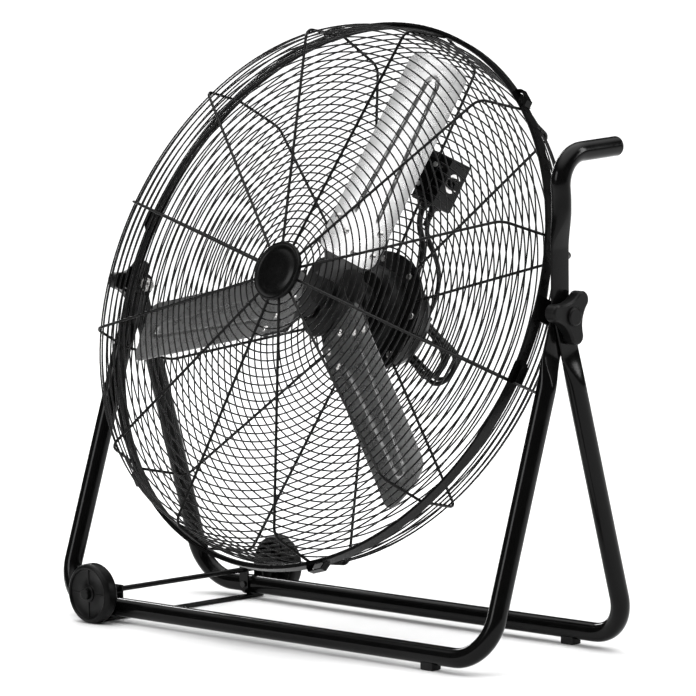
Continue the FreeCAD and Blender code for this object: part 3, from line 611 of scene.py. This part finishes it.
def wire_ring(shape, radius, w, wire, sides=8):
    """One closed hoop of wire about the fan axis."""
    count = 128 if radius > 150 else 72
    rings = []
    for i in range(count):
        a = 2 * math.pi * i / count
        ring = []
        for k in range(sides):
            b = 2 * math.pi * k / sides
            r = radius + wire * math.cos(b)
            ring.append(head(r * math.cos(a), r * math.sin(a), w + wire * math.sin(b)))
        rings.append(ring)
    shape.loft(rings, closed=True)


def beside(tangent):
    """Direction at right angles to a spoke, in its own plane."""
    return Vector((tangent.z, 0, -tangent.x))


def wire_spoke(shape, run, angle):
    """One radial wire along stations drawn in the (radius, w) plane."""
    rings = []
    for centre, tangent in run:
        side = beside(tangent)
        ring = []
        for k in range(10):
            b = 2 * math.pi * k / 10
            spot = centre + side * SPOKE_WIRE * math.cos(b) + Vector((0, SPOKE_WIRE * math.sin(b), 0))
            ring.append(head(*turned_about_axis(spot, angle)))
        rings.append(ring)
    shape.loft(rings)


def ring_stations(run, first, side, lift):
    """Hoop positions at even steps along a spoke, moved to the side where they are welded."""
    wanted = first
    travelled = 0.0
    total = sum((b[0] - a[0]).length for a, b in zip(run, run[1:]))
    spots = []
    for (a, t), (b, u) in zip(run, run[1:]):
        step = (b - a).length
        while wanted <= travelled + step and wanted < total - LAST_RING:
            share = (wanted - travelled) / step
            tangent = (t * (1 - share) + u * share).normalized()
            spots.append(a.lerp(b, share) + beside(tangent) * side * lift)
            wanted += RING_PITCH
        travelled += step
    return spots


def lean_run(run):
    """Only the stations that a straight wire needs."""
    kept = [run[0]]
    for i in range(1, len(run) - 1):
        if run[i][1].angle(kept[-1][1]) > 0.02 or run[i][1].angle(run[i + 1][1]) > 0.02:
            kept.append(run[i])
    return kept + [run[-1]]


def weld_spot(shape, spot, angle):
    """Small flattened nugget where a hoop is welded to a spoke."""
    rings = []
    for level in (-0.9, -0.35, 0.35, 0.9):
        reach = 2.0 * math.sqrt(1 - level * level)
        ring = []
        for k in range(6):
            b = 2 * math.pi * k / 6
            place_at = (spot.x + reach * math.cos(b), reach * math.sin(b), spot.z + 1.7 * level)
            ring.append(head(*turned_about_axis(place_at, angle)))
        rings.append(ring)
    shape.loft(rings)


def wire_guard(name, corners, rim_w, first, side, inner_ring):
    """Hoops, radial spokes and rim of one guard; the hoops are welded on the given side."""
    shape = Shape()
    run = rounded_run([Vector((r, 0, w)) for r, w in corners], [18], 2.0)
    lift = SPOKE_WIRE + RING_WIRE - WELD_SINK
    spots = ring_stations(run, first, side, lift)
    if inner_ring:
        spots.append(run[1][0] + beside(run[1][1]) * side * lift)
    for spot in spots:
        wire_ring(shape, spot.x, spot.z, RING_WIRE)
    wire_ring(shape, RIM_R, rim_w, RIM_WIRE, 12)
    spoke = lean_run(run)
    for i in range(SPOKES):
        angle = FIRST_SPOKE + i * 360.0 / SPOKES
        wire_spoke(shape, spoke, angle)
        for spot in spots:
            weld_spot(shape, spot, angle)
    return mesh_piece(name, shape.points, shape.faces, 50)


FRONT_SPOKE = [(22, 128.9), (393, 106), (RIM_R - 2.2, RING_MID + 3.6)]
REAR_SPOKE = [(90, -68.1), (391, -55), (RIM_R - 2.2, RING_MID - 3.6)]
front_wires = wire_guard("front_guard_wires", FRONT_SPOKE, RING_MID + 3, 26, 1, True)
place(front_wires, "head", "black_wire", "front_guard")
rear_wires = wire_guard("rear_guard_wires", REAR_SPOKE, RING_MID - 3, 12, -1, False)
place(rear_wires, "head", "black_wire", "rear_guard")

# ---------------------------------------------------------------- blades

BLADE_TIP = 378.0
BLADE_ROOT = 56.0
BLADE_HALF = 52.0
BLADE_CORNER = 17.0
BLADE_PITCH = 15.0
BLADE_CAMBER = 420.0
BLADE_THICK = 1.6
BLADE_W = 25.0
FIRST_BLADE = 73.0
RIB_START = 128.0
RIB_END = 338.0
RIB_WIDE = 21.75
RIB_NARROW = 9.75
RIB_HALF = 3.2
RIB_HIGH = 1.4


def rib_height(x, y):
    """Height of the pressed hairpin rib at a place on the blade."""
    share = min(max((x - RIB_START) / (RIB_END - RIB_START), 0), 1)
    offset = RIB_WIDE + (RIB_NARROW - RIB_WIDE) * share
    if x > RIB_END:
        distance = abs(math.hypot(x - RIB_END, y) - RIB_NARROW)
    elif x < RIB_START:
        distance = math.hypot(abs(y) - RIB_WIDE, RIB_START - x)
    else:
        distance = abs(abs(y) - offset)
    if distance >= RIB_HALF:
        return 0.0
    return RIB_HIGH * 0.5 * (1 + math.cos(math.pi * distance / RIB_HALF))


def blade_place(x, y, z, angle):
    """A blade point, pitched about the blade's long axis, lifted to its plane and turned to its place."""
    p = math.radians(BLADE_PITCH)
    across = y * math.cos(p) - z * math.sin(p)
    lift = y * math.sin(p) + z * math.cos(p) + BLADE_W
    return head(*turned_about_axis((x, across, lift), angle))


def blade_grid(angle, columns=112, rows=72):
    """Cambered sheet with rounded corners, an arc at its tip and the rib pressed through it."""
    shape = Shape()
    front = []
    back = []
    for i in range(columns + 1):
        share = i / columns
        from_end = min(share, 1 - share) * (BLADE_TIP - BLADE_ROOT)
        half = BLADE_HALF
        if from_end < BLADE_CORNER:
            half -= BLADE_CORNER - math.sqrt(BLADE_CORNER ** 2 - (BLADE_CORNER - from_end) ** 2)
        line_front = []
        line_back = []
        for j in range(rows + 1):
            y = half * (2 * j / rows - 1)
            tip = math.sqrt(BLADE_TIP ** 2 - y * y)
            x = BLADE_ROOT + (tip - BLADE_ROOT) * share
            z = BLADE_CAMBER - math.sqrt(BLADE_CAMBER ** 2 - y * y) + rib_height(x, y)
            line_front.append(blade_place(x, y, z, angle))
            line_back.append(blade_place(x, y, z - BLADE_THICK, angle))
        front.append(line_front)
        back.append(line_back)
    grid_solid(shape, front, back)
    return shape


def grid_solid(shape, front, back):
    """Close two matching grids of points into one sheet with edges."""
    columns = len(front)
    rows = len(front[0])
    base = len(shape.points)
    for grid in (front, back):
        for line in grid:
            shape.points += line

    def at(layer, i, j):
        return base + layer * columns * rows + i * rows + j

    for i in range(columns - 1):
        for j in range(rows - 1):
            shape.faces.append((at(0, i, j), at(0, i + 1, j), at(0, i + 1, j + 1), at(0, i, j + 1)))
            shape.faces.append((at(1, i, j), at(1, i, j + 1), at(1, i + 1, j + 1), at(1, i + 1, j)))
    for i in range(columns - 1):
        for j, flip in ((0, False), (rows - 1, True)):
            quad = (at(0, i, j), at(1, i, j), at(1, i + 1, j), at(0, i + 1, j))
            shape.faces.append(quad[::-1] if flip else quad)
    for j in range(rows - 1):
        for i, flip in ((0, True), (columns - 1, False)):
            quad = (at(0, i, j), at(1, i, j), at(1, i, j + 1), at(0, i, j + 1))
            shape.faces.append(quad[::-1] if flip else quad)


for number in range(3):
    drawn = blade_grid(FIRST_BLADE + 120 * number)
    blade = mesh_piece("pressed_blade_%d" % (number + 1), drawn.points, drawn.faces, 40)
    place(blade, "rotor", "blade_metal", "blade_%d" % (number + 1))

# ---------------------------------------------------------------- wheels

WHEEL_R = 45.0
WHEEL_WIDE = 25.0
FACE_RIBS = 4
BACK_RIBS = 8


def wheel_profile():
    """Closed (radius, depth from the outer face) section of the moulded wheel."""
    front_lip = arc_points((39.0, 2.0), 200, 290, 2.0, 5)
    front_edge = arc_points((37.5, 8.0), -75, 0, 7.5, 8)
    back_edge = arc_points((37.5, WHEEL_WIDE - 8.0), 0, 75, 7.5, 8)
    back_lip = arc_points((39.0, WHEEL_WIDE - 2.0), 70, 160, 2.0, 5)
    hub = [(4.3, 1.6), (5.2, 1.0), (11.2, 1.0), (12.4, 1.8), (12.8, 4.0)]
    web = [(13.6, 4.6), (35.2, 4.6), (36.6, 3.6)]
    back = [(36.2, WHEEL_WIDE - 8), (35, WHEEL_WIDE - 10), (13.4, WHEEL_WIDE - 10), (12.6, WHEEL_WIDE - 9),
            (12.2, WHEEL_WIDE - 1.6), (11.4, WHEEL_WIDE - 1), (4.3, WHEEL_WIDE - 1)]
    return hub + web + front_lip + front_edge + back_edge + back_lip + back


def wheel_piece(name, node, way):
    """One wheel on its CAD node's own place, its outer face towards the given way along y."""
    low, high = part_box(node)
    middle = (low + high) / 2
    face_y = low.y if way < 0 else high.y

    def place_at(x, y, depth):
        return Vector((middle.x + x * MM, face_y - way * depth * MM, middle.z + y * MM))

    shape = Shape()
    lathe(shape, wheel_profile(), place_at, 96)
    for i in range(FACE_RIBS):
        wheel_rib(shape, place_at, 360.0 / FACE_RIBS * i, 12.0, 36.4, 3.4, 5.0, 1.3)
    for i in range(BACK_RIBS):
        angle = 360.0 / BACK_RIBS * (i + 0.5)
        wheel_rib(shape, place_at, angle, 12.0, 36.2, WHEEL_WIDE - 4, WHEEL_WIDE - 11, 1.2)
    return mesh_piece(name, shape.points, shape.faces, 40)


def wheel_rib(shape, place_at, angle, inner, outer, top, root, half):
    """Radial stiffening rib with a soft top edge."""
    a = math.radians(angle)
    middle = (top + root) / 2
    section = [(-1, root), (-0.8, middle), (-0.5, top), (0.5, top), (0.8, middle), (1, root)]
    rings = []
    for r in (inner, outer):
        ring = []
        for share, depth in section:
            side = half * share
            x = r * math.cos(a) - side * math.sin(a)
            ring.append(place_at(x, r * math.sin(a) + side * math.cos(a), depth))
        rings.append(ring)
    shape.loft(rings)


place(wheel_piece("front_wheel_moulding", "front_wheel", -1), "front_wheel", "black_plastic", "front_wheel")
place(wheel_piece("rear_wheel_moulding", "rear_wheel", 1), "rear_wheel", "black_plastic", "rear_wheel")

# ---------------------------------------------------------------- centre cap

CAP_R = 44.0
CAP_BACK = 131.0
CAP_FRONT = 138.0


def centre_cap():
    """Dished disc with a rounded raised rim and a shallow ring step."""
    rim = arc_points((CAP_R - 2.6, CAP_FRONT - 2.6), 0, 90, 2.6, 6)
    inner = [(CAP_R - 4.2, CAP_FRONT - 0.5), (CAP_R - 5.6, CAP_FRONT - 1.6), (CAP_R - 12, CAP_FRONT - 1.8),
             (CAP_R - 13, CAP_FRONT - 1.2), (CAP_R - 24, CAP_FRONT - 1.0), (0.4, CAP_FRONT - 0.8)]
    profile = [(0.4, CAP_BACK), (CAP_R - 1.5, CAP_BACK), (CAP_R, CAP_BACK + 0.8)] + rim + inner
    shape = Shape()
    lathe(shape, profile, head, 96)
    return mesh_piece("centre_cap_dished", shape.points, shape.faces, 50)


place(centre_cap(), "head", "gloss_black_plastic", "guard_centre_cap")

# ---------------------------------------------------------------- finishes on the CAD pieces that stay


def finish_cad_nodes():
    """Give every CAD node the finish that the record names for it."""
    for sub in RECORD["subparts"]:
        node = NODES[sub["node"]]
        node.data.materials.clear()
        node.data.materials.append(MATERIALS[sub["material_slot"]])
        node.data.shade_smooth()
        node.data.set_sharp_from_angle(angle=math.radians(32))


finish_cad_nodes()


FLOOR_REACH = 150.0
CEILING_GLOW = 3.3
WALL_GLOW = 0.04
WALL_TOP = 0.58
CEILING_EDGE = 0.9


def make_floor():
    """Pale floor that reaches past the far edge of the picture."""
    data = bpy.data.meshes.new("studio_floor")
    reach = FLOOR_REACH
    data.from_pydata([(-reach, -reach, 0), (reach, -reach, 0), (reach, reach, 0), (-reach, reach, 0)], [],
                     [(0, 1, 2, 3)])
    floor = bpy.data.objects.new("studio_floor", data)
    bpy.context.scene.collection.objects.link(floor)
    pale = finish_material("studio_floor", grey(0.86), grey(0.88), (0.8, 0.9), 60, 0.01, cloud=0.5)
    data.materials.append(pale)


def soft_light(name, at, aim, size, power):
    """Rectangular softbox in metres and watts, turned towards its aim."""
    data = bpy.data.lights.new(name, "AREA")
    data.shape = "RECTANGLE"
    data.size, data.size_y = size
    data.energy = power
    lamp = bpy.data.objects.new(name, data)
    bpy.context.scene.collection.objects.link(lamp)
    lamp.location = at
    lamp.rotation_mode = "QUATERNION"
    lamp.rotation_quaternion = (Vector(aim) - Vector(at)).to_track_quat("-Z", "Y")


def make_world():
    """Studio with a broad bright ceiling and dark walls, so that black paint stays black."""
    world = bpy.data.worlds.new("studio")
    world.use_nodes = True
    nodes, links = world.node_tree.nodes, world.node_tree.links
    where = nodes.new("ShaderNodeTexCoord")
    split = nodes.new("ShaderNodeSeparateXYZ")
    links.new(where.outputs["Generated"], split.inputs["Vector"])
    glow = ranged(nodes, links, split.outputs["Z"], WALL_GLOW, CEILING_GLOW, WALL_TOP, CEILING_EDGE)
    links.new(glow, nodes["Background"].inputs["Strength"])
    nodes["Background"].inputs["Color"].default_value = (1, 1, 1, 1)
    bpy.context.scene.world = world


make_floor()
make_world()
soft_light("front_softbox", (-1.5, -4.6, 2.5), (0, 0, 0.55), (1.8, 1.8), 75)
soft_light("left_softbox", (-3.6, 1.8, 1.9), (0, 0, 0.5), (0.4, 2.0), 40)
soft_light("right_softbox", (3.0, 2.4, 2.4), (0, 0, 0.5), (0.5, 2.4), 55)
bpy.context.scene.view_settings.view_transform = "Standard"
